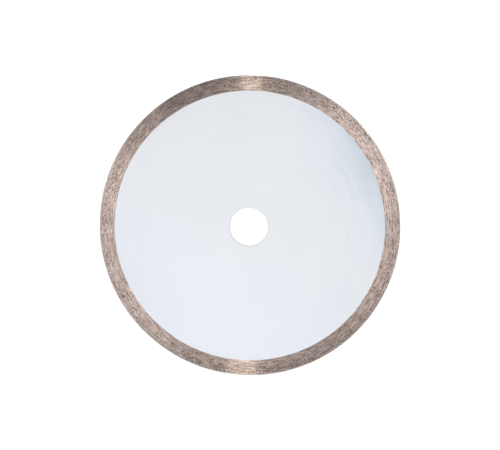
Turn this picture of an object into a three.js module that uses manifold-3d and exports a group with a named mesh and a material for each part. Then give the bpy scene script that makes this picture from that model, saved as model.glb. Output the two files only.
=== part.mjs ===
// Continuous-rim diamond blade, 200 x 2.2 x 10 mm rim on a 25.4 mm bore, for wet cutting of tile and stone.
// Millimetres. The blade stands upright in the XZ plane. +Y is the spin axis and the origin is the bore's
// centre, halfway through the thickness. Two pieces are bonded together: a ground steel core with keys
// around its edge, and a sintered diamond rim that wraps the core's edge and fills the spaces between keys.

import * as THREE from 'three';
import { mergeVertices } from 'three/addons/utils/BufferGeometryUtils.js';
import Module from 'manifold-3d';

// Driving dimensions
const BLADE_DIAMETER = 200;
const RIM_THICKNESS = 2.2;
const RIM_HEIGHT = 10; // radial height of the diamond rim that shows on each flank
const RIM_CHAMFER = 0.3; // broken outer corners of the rim
const CORE_THICKNESS = 1.6;
const BORE_DIAMETER = 25.4;
const BORE_CHAMFER = 0.2; // deburred bore corners
const FLANGE_DIAMETER = 70; // the saw's clamping flanges bear on the core out to here

// Keys that lock the core to the rim, hidden inside the rim
const KEY_COUNT = 72;
const KEY_HEIGHT = 2.5;
const KEY_SHARE = 0.5; // key width at the root, as a share of the key pitch
const KEY_FLARE = 1.15; // a key's tip is this much wider than its root, so that it can't pull out
const KEY_EMBEDMENT = 2; // how far the core's edge between keys reaches into the rim

const SEGMENTS = 144; // facets around the blade

// Radii that follow from the driving dimensions
const outerRadius = BLADE_DIAMETER / 2;
const rimInnerRadius = outerRadius - RIM_HEIGHT;
const boreRadius = BORE_DIAMETER / 2;
const flangeRadius = FLANGE_DIAMETER / 2;
const keyRootRadius = rimInnerRadius + KEY_EMBEDMENT;
const keyTipRadius = keyRootRadius + KEY_HEIGHT;

const wasm = await Module();
wasm.setup();

// A closed three.js geometry as a solid that can be cut and joined
function solidOf(geometry) {
  const bare = geometry.clone();
  bare.deleteAttribute('normal');
  bare.deleteAttribute('uv');
  const merged = mergeVertices(bare, 1e-4);
  return new wasm.Manifold(new wasm.Mesh({
    numProp: 3,
    vertProperties: merged.attributes.position.array,
    triVerts: Uint32Array.from(merged.index.array),
  }));
}

// The solid back as a three.js geometry with flat facets
function geometryOf(solid) {
  const { vertProperties, triVerts } = solid.getMesh();
  const indexed = new THREE.BufferGeometry();
  indexed.setAttribute('position', new THREE.BufferAttribute(vertProperties, 3));
  indexed.setIndex(new THREE.BufferAttribute(triVerts, 1));
  const flat = indexed.toNonIndexed();
  flat.computeVertexNormals();
  return flat;
}

// A closed profile of [radius, height] corners, turned about the spin axis
function turned(corners) {
  const profile = [...corners, corners[0]].map(([radius, height]) => new THREE.Vector2(radius, height));
  return new THREE.LatheGeometry(profile, SEGMENTS);
}

// A prism through the blade whose outline is the keyed edge of the core
function keyedEdgePrism() {
  const pitch = (2 * Math.PI) / KEY_COUNT;
  const rootHalfAngle = (pitch * KEY_SHARE) / 2;
  const tipHalfAngle = (rootHalfAngle * KEY_FLARE * keyRootRadius) / keyTipRadius;
  const corners = [];
  for (let key = 0; key < KEY_COUNT; key += 1) {
    const middle = key * pitch;
    for (const [radius, angle] of [
      [keyRootRadius, middle - rootHalfAngle],
      [keyTipRadius, middle - tipHalfAngle],
      [keyTipRadius, middle + tipHalfAngle],
      [keyRootRadius, middle + rootHalfAngle],
    ]) {
      corners.push(new THREE.Vector2(radius * Math.cos(angle), radius * Math.sin(angle)));
    }
  }
  const depth = 2 * CORE_THICKNESS;
  const prism = new THREE.ExtrudeGeometry(new THREE.Shape(corners), { depth, bevelEnabled: false });
  prism.translate(0, 0, -depth / 2);
  prism.rotateX(Math.PI / 2);
  return prism;
}

function part(name, solid, look) {
  const mesh = new THREE.Mesh(geometryOf(solid), new THREE.MeshStandardMaterial(look));
  mesh.name = name;
  return mesh;
}

// Steel core: a flat ground disc with a chamfered bore, its edge cut to keys. The corners at the flange's
// radius leave each flange seat as a face of its own.
const discRadius = keyTipRadius + 1; // beyond the keys, so that the prism alone shapes the edge
const coreHalf = CORE_THICKNESS / 2;
const disc = turned([
  [boreRadius + BORE_CHAMFER, -coreHalf],
  [flangeRadius, -coreHalf],
  [discRadius, -coreHalf],
  [discRadius, coreHalf],
  [flangeRadius, coreHalf],
  [boreRadius + BORE_CHAMFER, coreHalf],
  [boreRadius, coreHalf - BORE_CHAMFER],
  [boreRadius, BORE_CHAMFER - coreHalf],
]);
const core = solidOf(disc).intersect(solidOf(keyedEdgePrism()));

// Diamond rim: pressed and sintered around the core's edge, so its pocket is the core's own shape
const rimHalf = RIM_THICKNESS / 2;
const ring = turned([
  [rimInnerRadius, -rimHalf],
  [outerRadius - RIM_CHAMFER, -rimHalf],
  [outerRadius, RIM_CHAMFER - rimHalf],
  [outerRadius, rimHalf - RIM_CHAMFER],
  [outerRadius - RIM_CHAMFER, rimHalf],
  [rimInnerRadius, rimHalf],
]);
const rim = solidOf(ring).subtract(core);

const blade = new THREE.Group();
blade.name = 'diamond_blade';
blade.add(
  part('steel_core', core, { color: '#e8ebf0', roughness: 0.3, metalness: 1 }),
  part('diamond_rim', rim, { color: '#b4a29b', roughness: 0.5, metalness: 1 }),
);

export default blade;
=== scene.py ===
"""Looks of a continuous-rim diamond blade: a ground steel core with a keyed edge, a sintered bronze
rim that is pressed round the keys, and the diamond grit that the rim holds. Metres, with +Y along
the spin axis and +Z up."""

import itertools
import math

import bmesh
import bpy
import numpy as np
from mathutils import Matrix, Vector, noise


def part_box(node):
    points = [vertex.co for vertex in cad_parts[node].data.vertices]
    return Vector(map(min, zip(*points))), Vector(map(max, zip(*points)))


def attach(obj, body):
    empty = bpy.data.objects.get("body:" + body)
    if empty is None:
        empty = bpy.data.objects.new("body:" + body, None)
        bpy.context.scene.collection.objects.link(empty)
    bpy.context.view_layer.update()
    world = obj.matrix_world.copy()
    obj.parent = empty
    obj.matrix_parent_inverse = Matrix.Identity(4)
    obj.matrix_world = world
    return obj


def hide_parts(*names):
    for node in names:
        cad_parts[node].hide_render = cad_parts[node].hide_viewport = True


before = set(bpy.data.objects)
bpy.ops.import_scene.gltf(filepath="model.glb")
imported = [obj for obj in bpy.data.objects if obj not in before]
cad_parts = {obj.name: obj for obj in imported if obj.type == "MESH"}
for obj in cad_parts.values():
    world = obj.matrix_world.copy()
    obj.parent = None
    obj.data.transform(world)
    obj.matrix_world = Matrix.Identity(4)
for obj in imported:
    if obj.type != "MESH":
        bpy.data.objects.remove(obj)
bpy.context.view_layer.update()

MM = 0.001


# ---- sizes, from the frame ----


def radii_of(node):
    """The different distances of a CAD node's corners from the spin axis, smallest first."""
    corners = np.array([v.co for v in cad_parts[node].data.vertices])
    return sorted(set(np.round(np.hypot(corners[:, 0], corners[:, 2]), 5)))


core_radii = radii_of("steel_core")
rim_radii = radii_of("diamond_rim")
BORE_R = core_radii[0]
KEY_ROOT_R = core_radii[-2]
KEY_TIP_R = core_radii[-1]
RIM_INNER_R = rim_radii[0]
OUTER_R = rim_radii[-1]
CORE_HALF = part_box("steel_core")[1].y
RIM_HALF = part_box("diamond_rim")[1].y
RIM_MIDDLE_R = (RIM_INNER_R + OUTER_R) / 2

KEYS = 72
KEY_SHARE = 0.5  # key width at its root, as a share of the key pitch
KEY_FLARE = 1.15  # tip width over root width
STEPS_PER_KEY = 10
STEPS = KEYS * STEPS_PER_KEY  # steps round the blade


# ---- camera ----

VIEW_AZIMUTH = math.radians(3.1)
VIEW_ELEVATION = math.radians(5.0)
VIEW_DISTANCE = 0.748
AIM = Vector((0.67 * MM, 0, 1.2 * MM))  # the point that the camera looks at
LENS = 81  # focal length and sensor width, in millimetres
SENSOR = 36


def make_camera():
    """The camera, looking at the front of the blade from a little above and to the right."""
    lens = bpy.data.cameras.new("camera")
    lens.lens = LENS
    lens.sensor_width = SENSOR
    lens.dof.use_dof = False
    camera = bpy.data.objects.new("camera", lens)
    bpy.context.scene.collection.objects.link(camera)
    level = math.cos(VIEW_ELEVATION)
    back = Vector(
        (math.sin(VIEW_AZIMUTH) * level, -math.cos(VIEW_AZIMUTH) * level, math.sin(VIEW_ELEVATION))
    )
    camera.location = AIM + back * VIEW_DISTANCE
    camera.rotation_euler = (-back).to_track_quat("-Z", "Y").to_euler()
    bpy.context.scene.camera = camera


make_camera()


# ---- nodes and colours ----


def add_node(tree, kind, inputs=None, **settings):
    """A node with its settings. An input's value is a number, a colour, or what feeds it: a socket,
    or a node, whose first working output is taken."""
    node = tree.nodes.new(kind)
    for name, value in settings.items():
        setattr(node, name, value)
    for socket, value in (inputs or {}).items():
        if isinstance(value, bpy.types.Node):
            value = next(output for output in value.outputs if output.enabled)
        if isinstance(value, bpy.types.NodeSocket):
            tree.links.new(value, node.inputs[socket])
        else:
            node.inputs[socket].default_value = value
    return node


def linear(hex_colour):
    """An sRGB hex colour as linear RGBA."""
    shares = [int(hex_colour[i : i + 2], 16) / 255 for i in (1, 3, 5)]
    return (*[s / 12.92 if s < 0.04045 else ((s + 0.055) / 1.055) ** 2.4 for s in shares], 1)


def new_material(name):
    """An empty material, its node tree and its surface shader."""
    material = bpy.data.materials.new(name)
    material.use_nodes = True
    tree = material.node_tree
    tree.nodes.clear()
    surface = add_node(tree, "ShaderNodeBsdfPrincipled")
    output = add_node(tree, "ShaderNodeOutputMaterial")
    tree.links.new(surface.outputs["BSDF"], output.inputs["Surface"])
    return material, tree, surface


def blade_polar(tree):
    """Place on the piece, distance from the spin axis, the direction from it, and the direction
    round the blade."""
    place = add_node(tree, "ShaderNodeTexCoord").outputs["Object"]
    flat = add_node(tree, "ShaderNodeVectorMath", {0: place, 1: (1, 0, 1)}, operation="MULTIPLY")
    radius = add_node(tree, "ShaderNodeVectorMath", {0: flat}, operation="LENGTH")
    outward = add_node(tree, "ShaderNodeVectorMath", {0: flat}, operation="NORMALIZE")
    around = add_node(
        tree, "ShaderNodeVectorMath", {0: (0, 1, 0), 1: outward}, operation="CROSS_PRODUCT"
    )
    return place, radius, outward, around


FACE_SHIFT = 3.1  # marks shift by this times their depth, so that the two faces and the edge differ


def grinding_space(tree, length, width):
    """Coordinates for noise whose marks are length long round the blade and width wide across it."""
    place, radius, outward, _ = blade_polar(tree)
    depth = add_node(tree, "ShaderNodeSeparateXYZ", {0: place}).outputs["Y"]
    across = add_node(
        tree, "ShaderNodeMath", {0: depth, 1: FACE_SHIFT, 2: radius}, operation="MULTIPLY_ADD"
    )
    across = add_node(tree, "ShaderNodeMath", {0: across, 1: 1 / width}, operation="MULTIPLY")
    lift = add_node(tree, "ShaderNodeCombineXYZ", {"Y": across})
    turns = RIM_MIDDLE_R / length
    return add_node(
        tree,
        "ShaderNodeVectorMath",
        {0: outward, 1: (turns, turns, turns), 2: lift},
        operation="MULTIPLY_ADD",
    )


# ---- materials ----

HAZE = 45 * MM  # spacing of slow changes in the polish
TENSION_WAVE = 30 * MM  # spacing of the waves that tensioning leaves
WAVE_HEIGHT = 0.12 * MM
RING_LONG = 60 * MM
RING_WIDE = 0.5 * MM  # real polishing rings are some 0.05 mm wide: drawn coarser so that they show
RING_HEIGHT = 0.0002 * MM


def ground_steel():
    """Alloy tool steel, surface-ground, tensioned and polished: near-white, and it blurs what it
    mirrors. Lapping leaves faint rings round the bore, and hammer tensioning leaves the face very
    slightly wavy."""
    material, tree, surface = new_material("ground_tool_steel")
    place = blade_polar(tree)[0]
    haze = add_node(tree, "ShaderNodeTexNoise", {"Vector": place, "Scale": 1 / HAZE})
    waves = add_node(
        tree, "ShaderNodeTexNoise", {"Vector": place, "Scale": 1 / TENSION_WAVE, "Detail": 1}
    )
    rings = add_node(
        tree,
        "ShaderNodeTexNoise",
        {"Vector": grinding_space(tree, RING_LONG, RING_WIDE), "Scale": 1, "Detail": 3},
    )
    shade = add_node(
        tree,
        "ShaderNodeMix",
        {"Factor": haze, "A": linear("#e2e5ea"), "B": linear("#eaebee")},
        data_type="RGBA",
    )
    ringed = add_node(
        tree,
        "ShaderNodeMapRange",
        {"Value": rings, 1: 0.3, 2: 0.7, 3: 0, 4: 0.05},
        interpolation_type="SMOOTHSTEP",
    )
    tint = add_node(
        tree,
        "ShaderNodeMix",
        {"Factor": ringed, "A": shade, "B": linear("#c9ced6")},
        data_type="RGBA",
    )
    dull = add_node(
        tree,
        "ShaderNodeMapRange",
        {"Value": rings, 1: 0.25, 2: 0.75, 3: 0.14, 4: 0.17},
        interpolation_type="SMOOTHSTEP",
    )
    wavy = add_node(tree, "ShaderNodeBump", {"Height": waves, "Distance": WAVE_HEIGHT})
    bump = add_node(
        tree, "ShaderNodeBump", {"Height": rings, "Distance": RING_HEIGHT, "Normal": wavy}
    )
    surface.inputs["Metallic"].default_value = 1
    tree.links.new(tint.outputs["Result"], surface.inputs["Base Color"])
    tree.links.new(dull.outputs["Result"], surface.inputs["Roughness"])
    tree.links.new(bump.outputs["Normal"], surface.inputs["Normal"])
    return material


STREAK_LONG = 6 * MM
STREAK_WIDE = 0.5 * MM  # real grinding lines are some 0.1 mm wide: drawn coarser so that they show
STREAK_HEIGHT = 0.008 * MM
POCKET_LONG = 1.1 * MM  # real pockets are 0.2 to 0.6 mm long: drawn coarser so that they show
POCKET_WIDE = 0.45 * MM
POCKET_PATCH = 8 * MM  # spacing of the patches that pockets crowd into
WEAR_STARTS = 1.1 * MM  # in from the outer edge
WEAR_FULL = 0.6 * MM


def sintered_bronze():
    """Bronze powder hot-pressed round the grit, then dressed round the blade: pinkish brown metal
    whose grinding lines fan the light out into streaks. The lighter streaks in its colour are partly
    the lines' own tone and partly painted sheen. Pockets where powder or grit has pulled out are
    real hollows with painted shade in them, and the worn edge is greyer."""
    material, tree, surface = new_material("sintered_bronze_bond")
    place, radius, _, around = blade_polar(tree)
    patches = add_node(
        tree, "ShaderNodeTexNoise", {"Vector": place, "Scale": 1 / POCKET_PATCH, "Detail": 3}
    )
    streaks = add_node(
        tree,
        "ShaderNodeTexNoise",
        {
            "Vector": grinding_space(tree, STREAK_LONG, STREAK_WIDE),
            "Scale": 1,
            "Detail": 4,
            "Roughness": 0.65,
        },
    )
    specks = add_node(
        tree,
        "ShaderNodeTexNoise",
        {
            "Vector": grinding_space(tree, POCKET_LONG, POCKET_WIDE),
            "Scale": 1,
            "Detail": 3,
            "Roughness": 0.65,
        },
    )
    # pockets crowd together in patches, and towards the worn edge
    crowding = add_node(
        tree,
        "ShaderNodeMapRange",
        {"Value": radius, 1: RIM_INNER_R + 2 * MM, 2: OUTER_R - 1.5 * MM, 3: 0, 4: 0.04},
        interpolation_type="SMOOTHSTEP",
    )
    level = add_node(
        tree, "ShaderNodeMath", {0: patches, 1: 0.18, 2: specks}, operation="MULTIPLY_ADD"
    )
    level = add_node(tree, "ShaderNodeMath", {0: level, 1: crowding}, operation="ADD")
    pockets = add_node(
        tree,
        "ShaderNodeMapRange",
        {"Value": level, 1: 0.62, 2: 0.69},
        interpolation_type="SMOOTHSTEP",
    )
    # the lighter streaks are partly the grinding lines' own tone and partly painted sheen
    streak_tone_and_painted_sheen = add_node(
        tree,
        "ShaderNodeMapRange",
        {"Value": streaks, 1: 0.3, 2: 0.7},
        interpolation_type="SMOOTHSTEP",
    )
    metal = add_node(
        tree,
        "ShaderNodeMix",
        {"Factor": streak_tone_and_painted_sheen, "A": linear("#8c7971"), "B": linear("#dccac1")},
        data_type="RGBA",
    )
    # the pockets are real hollows; the dark colour mixed into them here is painted shade
    shadow = add_node(tree, "ShaderNodeMapRange", {"Value": pockets, 4: 0.7})
    bond_with_painted_pocket_shade = add_node(
        tree,
        "ShaderNodeMix",
        {"Factor": shadow, "A": metal, "B": linear("#40312b")},
        data_type="RGBA",
    )
    wear = add_node(
        tree,
        "ShaderNodeMapRange",
        {"Value": radius, 1: OUTER_R - WEAR_STARTS, 2: OUTER_R - WEAR_FULL, 4: 0.7},
        interpolation_type="SMOOTHSTEP",
    )
    tint = add_node(
        tree,
        "ShaderNodeMix",
        {"Factor": wear, "A": bond_with_painted_pocket_shade, "B": linear("#b4acaa")},
        data_type="RGBA",
    )
    dull = add_node(tree, "ShaderNodeMapRange", {"Value": pockets, 3: 0.36, 4: 0.5})
    relief = add_node(
        tree, "ShaderNodeMath", {0: pockets, 1: -0.25, 2: streaks}, operation="MULTIPLY_ADD"
    )
    bump = add_node(tree, "ShaderNodeBump", {"Height": relief, "Distance": STREAK_HEIGHT})
    surface.inputs["Metallic"].default_value = 1
    surface.inputs["Anisotropic"].default_value = 1
    surface.inputs["Anisotropic Rotation"].default_value = 0.25
    tree.links.new(tint.outputs["Result"], surface.inputs["Base Color"])
    tree.links.new(dull.outputs["Result"], surface.inputs["Roughness"])
    tree.links.new(bump.outputs["Normal"], surface.inputs["Normal"])
    tree.links.new(around.outputs["Vector"], surface.inputs["Tangent"])
    return material


GRIT_SHADE = 1.5 * MM  # how far apart light and dark crystals lie


def diamond():
    """Synthetic saw-grade diamond, as grown: blocky, brown, and dark against the bond, with a dull
    glint on its facets."""
    material, tree, surface = new_material("synthetic_diamond_grit")
    place = blade_polar(tree)[0]
    shade = add_node(
        tree, "ShaderNodeTexNoise", {"Vector": place, "Scale": 1 / GRIT_SHADE, "Detail": 1}
    )
    share = add_node(
        tree,
        "ShaderNodeMapRange",
        {"Value": shade, 1: 0.35, 2: 0.65},
        interpolation_type="SMOOTHSTEP",
    )
    tint = add_node(
        tree,
        "ShaderNodeMix",
        {"Factor": share, "A": linear("#2e2620"), "B": linear("#6e5f4e")},
        data_type="RGBA",
    )
    surface.inputs["Roughness"].default_value = 0.38
    surface.inputs["IOR"].default_value = 2.42
    tree.links.new(tint.outputs["Result"], surface.inputs["Base Color"])
    return material


STEEL = ground_steel()
BRONZE = sintered_bronze()
DIAMOND = diamond()


# ---- meshes of revolution ----

ANGLES = np.arange(STEPS) * 2 * math.pi / STEPS


def circle(radius, height, angles=ANGLES):
    """Points at a radius from the spin axis and a height along it, each one number or an array."""
    radius = np.broadcast_to(radius, angles.shape)
    height = np.broadcast_to(height, angles.shape)
    return np.stack([radius * np.cos(angles), height, radius * np.sin(angles)], axis=1)


class Skin:
    """Vertices and faces of one closed mesh, gathered loop by loop."""

    def __init__(self):
        self.points = []
        self.faces = []
        self.count = 0

    def loop(self, points):
        self.points.append(points)
        self.count += len(points)
        return np.arange(self.count - len(points), self.count)

    def band(self, a, b):
        """Quads between two closed loops of the same number of points."""
        self.faces.append(np.stack([a, np.roll(a, -1), np.roll(b, -1), b], axis=1))

    def strip(self, a, b):
        """Quads between two open rows of the same number of points."""
        self.faces.append(np.stack([a[:-1], a[1:], b[1:], b[:-1]], axis=1))

    def mesh(self, name):
        made = bpy.data.meshes.new(name)
        made.from_pydata(np.concatenate(self.points), [], np.concatenate(self.faces).tolist())
        made.update()
        return made


def keyed_edge(skin, front_root, back_root, height):
    """The core's edge outside the root circle: dovetailed keys and the gaps between them, from the
    loops of the root circle on the front and the back."""
    pitch = 2 * math.pi / KEYS
    root_steps = round(STEPS_PER_KEY * KEY_SHARE)
    half_tip = pitch * KEY_SHARE / 2 * KEY_FLARE * KEY_ROOT_R / KEY_TIP_R
    for key in range(KEYS):
        first = key * STEPS_PER_KEY
        root = np.arange(first, first + root_steps + 1) % STEPS
        middle = (first + root_steps / 2) * 2 * math.pi / STEPS
        tips = middle + np.linspace(-half_tip, half_tip, root_steps + 1)
        front_tip = skin.loop(circle(KEY_TIP_R, -height, tips))
        back_tip = skin.loop(circle(KEY_TIP_R, height, tips))
        skin.strip(front_root[root], front_tip)
        skin.strip(front_tip, back_tip)
        skin.strip(back_tip, back_root[root])
        for at, end in ((root[0], 0), (root[-1], -1)):
            quad = [front_root[at], front_tip[end], back_tip[end], back_root[at]]
            skin.faces.append(np.array([quad]))
        gap = np.arange(first + root_steps, first + STEPS_PER_KEY + 1) % STEPS
        skin.strip(front_root[gap], back_root[gap])


SHARP = math.radians(35)  # faces that meet at more than this show an edge


def finished(name, mesh, material):
    """A mesh as a piece, faces outwards and smooth but for its sharp edges."""
    piece = bpy.data.objects.new(name, mesh)
    bpy.context.scene.collection.objects.link(piece)
    bpy.context.view_layer.objects.active = piece
    piece.select_set(True)
    bpy.ops.object.mode_set(mode="EDIT")
    bpy.ops.mesh.select_all(action="SELECT")
    bpy.ops.mesh.normals_make_consistent(inside=False)
    bpy.ops.object.mode_set(mode="OBJECT")
    mesh.polygons.foreach_set("use_smooth", np.ones(len(mesh.polygons), bool))
    mesh.set_sharp_from_angle(angle=SHARP)
    mesh.materials.append(material)
    piece.select_set(False)
    return piece


# ---- steel core ----

BORE_BREAK = 0.15 * MM  # deburred corners of the bore
FACE_RINGS = 24


def make_core():
    """The disc: two ground faces, the bore with its broken corners, and the keyed edge."""
    skin = Skin()
    face_radii = np.linspace(BORE_R + BORE_BREAK, RIM_INNER_R, FACE_RINGS)
    profile = [(r, -CORE_HALF) for r in (KEY_ROOT_R, *face_radii[::-1])]
    profile.append((BORE_R, -CORE_HALF + BORE_BREAK))
    profile += [(r, -y) for r, y in reversed(profile)]
    loops = [skin.loop(circle(r, y)) for r, y in profile]
    for a, b in zip(loops, loops[1:]):
        skin.band(a, b)
    keyed_edge(skin, loops[0], loops[-1], CORE_HALF)
    return finished("core_disc", skin.mesh("core_disc"), STEEL)


# ---- diamond rim ----

CORNER_WIDE = 0.8 * MM  # the outer corners are worn to a quarter ellipse: this far in over the flank
CORNER_DEEP = 0.3 * MM  # and this far in over the edge
SHOULDER_R = 0.12 * MM  # rounded inner corners, where the rim stands proud of the core
FLANK_RINGS = 40
CORNER_STEPS = 5
EDGE_STEPS = 7
MARK_LONG = 7 * MM  # grinding marks of the flank
MARK_WIDE = 0.7 * MM
MARK_DEEP = 0.008 * MM
OTHER_FLANK = 40  # how far apart the two flanks take their marks from the noise


def flank_relief(radius, angle, side):
    """Height of the ground flank above its plane: shallow marks that run round the blade."""
    turns = RIM_MIDDLE_R / MARK_LONG
    across = radius / MARK_WIDE
    place = (math.cos(angle) * turns, across, math.sin(angle) * turns + OTHER_FLANK * side)
    return MARK_DEEP * noise.noise(Vector(place))


def make_rim():
    """The ring round the core's edge: key pocket, rounded shoulders, ground flanks, worn corners."""
    skin = Skin()
    corner = np.linspace(0, math.pi / 2, CORNER_STEPS + 1)
    profile = [(KEY_ROOT_R, -CORE_HALF), (RIM_INNER_R, -CORE_HALF)]
    profile += [
        (
            RIM_INNER_R + SHOULDER_R * (1 - math.cos(a)),
            -RIM_HALF + SHOULDER_R * (1 - math.sin(a)),
        )
        for a in corner
    ]
    flank_start = len(profile)
    flank_radii = np.linspace(RIM_INNER_R + SHOULDER_R, OUTER_R - CORNER_WIDE, FLANK_RINGS)
    profile += [(r, -RIM_HALF) for r in flank_radii[1:-1]]
    flank_end = len(profile)
    profile += [
        (OUTER_R - CORNER_WIDE * (1 - math.sin(a)), -RIM_HALF + CORNER_DEEP * (1 - math.cos(a)))
        for a in corner
    ]
    half = len(profile)
    edge_half = RIM_HALF - CORNER_DEEP
    profile += [(OUTER_R, y) for y in np.linspace(-edge_half, edge_half, EDGE_STEPS + 1)[1:-1]]
    profile += [(r, -y) for r, y in reversed(profile[:half])]
    loops = []
    for i, (r, y) in enumerate(profile):
        height = np.full(STEPS, y)
        twin = len(profile) - 1 - i
        if flank_start <= i < flank_end or flank_start <= twin < flank_end:
            side = 1 if y > 0 else -1
            height += side * np.array([flank_relief(r, a, side) for a in ANGLES])
        loops.append(skin.loop(circle(r, height)))
    for a, b in zip(loops, loops[1:]):
        skin.band(a, b)
    keyed_edge(skin, loops[0], loops[-1], CORE_HALF)
    return finished("bond_rim", skin.mesh("bond_rim"), BRONZE)


core = make_core()
rim = make_rim()


# ---- diamond grit ----

GRIT_R = 0.38 * MM  # real saw grit is 0.3 to 0.5 mm across: drawn coarser so that it shows
GRIT_SHAPES = (
    [(0, 1, 1)],  # cubo-octahedron
    [(0, 1, 2)],  # truncated octahedron
    [(1, 1, 0.45)],  # cube with its corners cut
    [(0, 1, 1), (1, 0.2, 0.2)],  # blocky, with short faces
)
BREAK_AT = 0.3  # a broken grain is cut this share of its radius from its middle
WELD = 0.02  # corners closer than this share of the radius are one


def make_crystals():
    """The habits that saw grit grows in, whole and then broken, as a collection to pick from."""
    habits = bpy.data.collections.new("grit_habits")
    rng = np.random.default_rng(11)
    for number, seeds in enumerate(GRIT_SHAPES * 2):
        corners = set()
        for seed in seeds:
            for order in itertools.permutations(seed):
                for signs in itertools.product((-1, 1), repeat=3):
                    corners.add(tuple(a * b for a, b in zip(order, signs)))
        points = np.array(sorted(corners), float)
        points /= np.linalg.norm(points, axis=1).max()
        if number >= len(GRIT_SHAPES):
            cut = rng.normal(size=3)
            cut /= np.linalg.norm(cut)
            points -= np.outer(np.maximum(points @ cut - BREAK_AT, 0), cut)
        shell = bmesh.new()
        for point in points * GRIT_R:
            shell.verts.new(point)
        hull = bmesh.ops.convex_hull(shell, input=shell.verts)
        left = hull["geom_interior"] + hull["geom_unused"]
        unused = {item for item in left if isinstance(item, bmesh.types.BMVert)}
        bmesh.ops.delete(shell, geom=list(unused), context="VERTS")
        bmesh.ops.remove_doubles(shell, verts=shell.verts, dist=GRIT_R * WELD)
        mesh = bpy.data.meshes.new(f"habit_{number}")
        shell.to_mesh(mesh)
        shell.free()
        habits.objects.link(bpy.data.objects.new(f"habit_{number}", mesh))
    return habits


ANY_TURN = 6.28  # radians: a grain may lie any way round
FLANK_MARGINS = (0.5 * MM, 1.0 * MM)  # grit keeps this far from the rim's inner and outer edge
EDGE_MARGIN = 0.5 * MM  # and this far from the flanks, on the cutting edge


def grit_tree():
    """Grains scattered over a surface, thicker in some patches than others, each turned at random
    and sunk into the surface by a random depth."""
    tree = bpy.data.node_groups.new("grit", "GeometryNodeTree")
    sockets = (
        ("Surface", "INPUT", "NodeSocketGeometry"),
        ("Habits", "INPUT", "NodeSocketCollection"),
        ("Material", "INPUT", "NodeSocketMaterial"),
        ("Spacing", "INPUT", "NodeSocketFloat"),
        ("Density", "INPUT", "NodeSocketFloat"),
        ("Patch Size", "INPUT", "NodeSocketFloat"),
        ("Shallowest", "INPUT", "NodeSocketFloat"),
        ("Deepest", "INPUT", "NodeSocketFloat"),
        ("Seed", "INPUT", "NodeSocketInt"),
        ("Grit", "OUTPUT", "NodeSocketGeometry"),
    )
    for name, side, kind in sockets:
        tree.interface.new_socket(name, in_out=side, socket_type=kind)
    given = add_node(tree, "NodeGroupInput").outputs
    place = add_node(tree, "GeometryNodeInputPosition").outputs[0]
    unit = add_node(tree, "ShaderNodeMath", {0: 1, 1: given["Patch Size"]}, operation="DIVIDE")
    patch = add_node(tree, "ShaderNodeTexNoise", {"Vector": place, "Scale": unit})
    share = add_node(tree, "ShaderNodeMapRange", {"Value": patch, 1: 0.35, 2: 0.65, 3: 0.15})
    scatter = add_node(
        tree,
        "GeometryNodeDistributePointsOnFaces",
        {
            "Mesh": given["Surface"],
            "Distance Min": given["Spacing"],
            "Density Max": given["Density"],
            "Density Factor": share,
            "Seed": given["Seed"],
        },
        distribute_method="POISSON",
    )
    depth = add_node(
        tree,
        "FunctionNodeRandomValue",
        {2: given["Shallowest"], 3: given["Deepest"], "Seed": given["Seed"]},
        data_type="FLOAT",
    )
    sink = add_node(tree, "ShaderNodeMath", {0: depth, 1: -1}, operation="MULTIPLY")
    offset = add_node(
        tree,
        "ShaderNodeVectorMath",
        {0: scatter.outputs["Normal"], "Scale": sink},
        operation="SCALE",
    )
    sunk = add_node(tree, "GeometryNodeSetPosition", {"Geometry": scatter, "Offset": offset})
    habits = add_node(
        tree,
        "GeometryNodeCollectionInfo",
        {"Collection": given["Habits"], "Separate Children": True, "Reset Children": True},
    )
    turn = add_node(
        tree,
        "FunctionNodeRandomValue",
        {1: (ANY_TURN, ANY_TURN, ANY_TURN), "Seed": 3},
        data_type="FLOAT_VECTOR",
    )
    size = add_node(
        tree, "FunctionNodeRandomValue", {2: 0.75, 3: 1.2, "Seed": 5}, data_type="FLOAT"
    )
    last = len(GRIT_SHAPES) * 2 - 1
    pick = add_node(tree, "FunctionNodeRandomValue", {4: 0, 5: last, "Seed": 7}, data_type="INT")
    grains = add_node(
        tree,
        "GeometryNodeInstanceOnPoints",
        {
            "Points": sunk,
            "Instance": habits,
            "Pick Instance": True,
            "Instance Index": pick,
            "Rotation": turn,
            "Scale": size,
        },
    )
    real = add_node(tree, "GeometryNodeRealizeInstances", {"Geometry": grains})
    dressed = add_node(
        tree, "GeometryNodeSetMaterial", {"Geometry": real, "Material": given["Material"]}
    )
    add_node(tree, "NodeGroupOutput", {"Grit": dressed})
    return tree


def scatter_grit(name, tree, habits, profile, **inputs):
    """Grit on the surface that a profile of (radius, height) corners makes round the spin axis."""
    skin = Skin()
    loops = [skin.loop(circle(r, y)) for r, y in profile]
    for a, b in zip(loops, loops[1:]):
        skin.band(a, b)
    bed = bpy.data.objects.new(f"{name}_bed", skin.mesh(f"{name}_bed"))
    bpy.context.scene.collection.objects.link(bed)
    modifier = bed.modifiers.new("grit", "NODES")
    modifier.node_group = tree
    values = {"Habits": habits, "Material": DIAMOND, **inputs}
    for item in tree.interface.items_tree:
        if item.name in values:
            modifier[item.identifier] = values[item.name]
    bed.update_tag()
    graph = bpy.context.evaluated_depsgraph_get()
    mesh = bpy.data.meshes.new_from_object(bed.evaluated_get(graph))
    bpy.data.objects.remove(bed)
    mesh.name = name
    piece = bpy.data.objects.new(name, mesh)
    bpy.context.scene.collection.objects.link(piece)
    return piece


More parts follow.
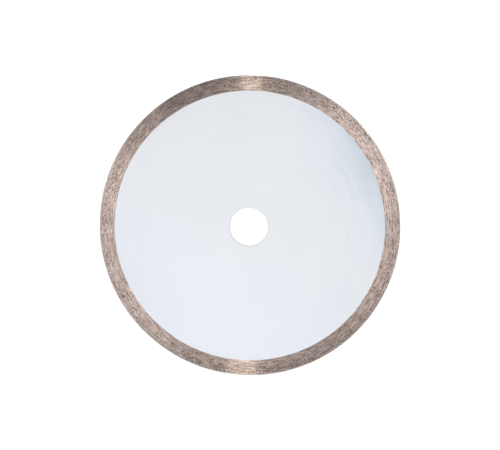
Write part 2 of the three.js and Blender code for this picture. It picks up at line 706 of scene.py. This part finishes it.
def make_grit():
    """Crystals on both flanks and round the cutting edge. They stand out by up to 0.25 mm."""
    tree = grit_tree()
    habits = make_crystals()
    flank_radii = (RIM_INNER_R + FLANK_MARGINS[0], OUTER_R - FLANK_MARGINS[1])
    flank = {"Spacing": 0.8 * MM, "Density": 1e6, "Patch Size": 9 * MM}
    flank |= {"Shallowest": 0.21 * MM, "Deepest": 0.33 * MM}
    edge = {"Spacing": 0.9 * MM, "Density": 8e5, "Patch Size": 6 * MM}
    edge |= {"Shallowest": 0.28 * MM, "Deepest": 0.4 * MM}
    front = [(r, -RIM_HALF) for r in reversed(flank_radii)]
    back = [(r, RIM_HALF) for r in flank_radii]
    half = RIM_HALF - EDGE_MARGIN
    cutting = [(OUTER_R, half), (OUTER_R, -half)]
    return [
        scatter_grit("grit_front_flank", tree, habits, front, Seed=21, **flank),
        scatter_grit("grit_back_flank", tree, habits, back, Seed=22, **flank),
        scatter_grit("grit_cutting_edge", tree, habits, cutting, Seed=23, **edge),
    ]


for piece, node, slot in ((core, "steel_core", "core_steel"), (rim, "diamond_rim", "rim_bond")):
    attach(piece, "root")
    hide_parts(node)
for piece in make_grit():
    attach(piece, "root")


# ---- stage and light ----

FLOOR_DROP = 0.8  # the floor lies well below the blade, which is held by its bore
FLOOR_HALF_WIDE = 6
FLOOR_FRONT = -2.2
FLOOR_BACK = 8
FLOOR_WHITE = 1.05  # how bright the floor looks to the camera
ROOM_WHITE = 1.2  # and the room
SEEN_BY_BLADE = 0.05  # and both of them to the blade


def make_floor():
    """A plain white table of opal sheet, lit from below, so that it stays white and shadowless. The
    blade sees it dim, so that only the panels show in the steel."""
    rows = [
        (-FLOOR_HALF_WIDE, FLOOR_FRONT),
        (FLOOR_HALF_WIDE, FLOOR_FRONT),
        (FLOOR_HALF_WIDE, FLOOR_BACK),
        (-FLOOR_HALF_WIDE, FLOOR_BACK),
    ]
    mesh = bpy.data.meshes.new("floor")
    mesh.from_pydata([(x, y, -FLOOR_DROP) for x, y in rows], [], [(0, 1, 2, 3)])
    floor = bpy.data.objects.new("floor", mesh)
    bpy.context.scene.collection.objects.link(floor)
    material, tree, surface = new_material("opal_acrylic")
    surface.inputs["Base Color"].default_value = linear("#303030")
    surface.inputs["Roughness"].default_value = 0.9
    surface.inputs["Specular IOR Level"].default_value = 0
    surface.inputs["Emission Color"].default_value = (1, 1, 1, 1)
    ray = add_node(tree, "ShaderNodeLightPath")
    glow = add_node(
        tree,
        "ShaderNodeMapRange",
        {"Value": ray.outputs["Is Camera Ray"], 3: SEEN_BY_BLADE, 4: FLOOR_WHITE},
    )
    tree.links.new(glow.outputs["Result"], surface.inputs["Emission Strength"])
    mesh.materials.append(material)


def make_panel(name, side, clock, tilt, distance, width, length, radiance, colour="#ffffff"):
    """A soft panel that faces the blade's centre, before the blade (side -1) or behind it (side 1).
    Clock is its angle round the blade from +X, and tilt is its angle out from the line that a mirror
    in the blade's place would send the camera's view along, both in degrees. Width runs round the
    blade, length outwards."""
    level = math.cos(VIEW_ELEVATION)
    mirrored = Vector(
        (
            -math.sin(VIEW_AZIMUTH) * level,
            side * math.cos(VIEW_AZIMUTH) * level,
            -math.sin(VIEW_ELEVATION),
        )
    )
    spoke = Vector((math.cos(math.radians(clock)), 0, math.sin(math.radians(clock))))
    spoke = (spoke - mirrored * spoke.dot(mirrored)).normalized()
    away = mirrored * math.cos(math.radians(tilt)) + spoke * math.sin(math.radians(tilt))
    outwards = (spoke - away * spoke.dot(away)).normalized()
    light = bpy.data.lights.new(name, "AREA")
    light.shape = "RECTANGLE"
    light.size = width
    light.size_y = length
    light.energy = radiance * math.pi * width * length
    light.color = linear(colour)[:3]
    panel = bpy.data.objects.new(name, light)
    bpy.context.scene.collection.objects.link(panel)
    turn = Matrix((outwards.cross(away), outwards, away)).transposed().to_4x4()
    panel.matrix_world = Matrix.Translation(away * distance) @ turn
    panel.visible_camera = False


def make_lights():
    """The grinding lines fan each light out along a spoke, so a panel shows on the rim at its own
    clock angle and opposite it. The low panels are about as bright as white, because the steel
    mirrors them to anyone who looks from the side. The bright ones are level or high, where mostly
    the rim catches them. The back has the same set, mirrored in the blade's plane."""
    # name, side, clock, tilt, distance, width, length, radiance, colour
    for side in (-1, 1):
        make_panel("front", side, 205, 2.2, 1.3, 0.7, 0.58, 1.0)
        make_panel("front_cool", side, 25, 17, 1.36, 0.72, 0.36, 0.55, "#cfe2f2")
        make_panel("front_low", side, 245, 9, 1.3, 0.7, 0.26, 0.07, "#b8c8ff")
        make_panel("right", side, 6, 48, 1.2, 0.36, 1.15, 1.5)
        make_panel("right_low", side, 321, 48, 1.05, 1.0, 1.0, 1.03)
        make_panel("right_high", side, 33, 38, 2.4, 1.0, 1.2, 5)
        make_panel("right_top", side, 62, 60, 2.4, 0.8, 1.28, 3.2)
        make_panel("left", side, 176, 48, 1.2, 0.36, 1.15, 1.8)
        make_panel("left_low", side, 218, 48, 0.95, 0.95, 0.95, 1.05)
        make_panel("left_high", side, 157, 46, 2.4, 0.7, 1.8, 2.7)
        make_panel("left_top", side, 137, 60, 2.4, 0.5, 1.28, 3)
        make_panel("low", side, 278, 48, 0.74, 0.4, 0.76, 0.9)
        make_panel("strip_top", side, 89.8, 60, 1.2, 0.03, 0.64, 52, "#fffaf0")
        make_panel("strip_bottom", side, 266.5, 50, 0.75, 0.05, 0.6, 6.5, "#fffaf0")


def make_world():
    """White behind the blade, and a dim grey room all round it."""
    world = bpy.data.worlds.new("studio")
    bpy.context.scene.world = world
    world.use_nodes = True
    tree = world.node_tree
    tree.nodes.clear()
    seen = add_node(
        tree, "ShaderNodeBackground", {"Color": (1, 1, 1, 1), "Strength": ROOM_WHITE}
    )
    room = add_node(
        tree, "ShaderNodeBackground", {"Color": linear("#dfeaf6"), "Strength": SEEN_BY_BLADE}
    )
    ray = add_node(tree, "ShaderNodeLightPath")
    mix = add_node(
        tree, "ShaderNodeMixShader", {0: ray.outputs["Is Camera Ray"], 1: room, 2: seen}
    )
    add_node(tree, "ShaderNodeOutputWorld", {"Surface": mix})


make_floor()
make_lights()
make_world()
bpy.context.scene.view_settings.view_transform = "Standard"
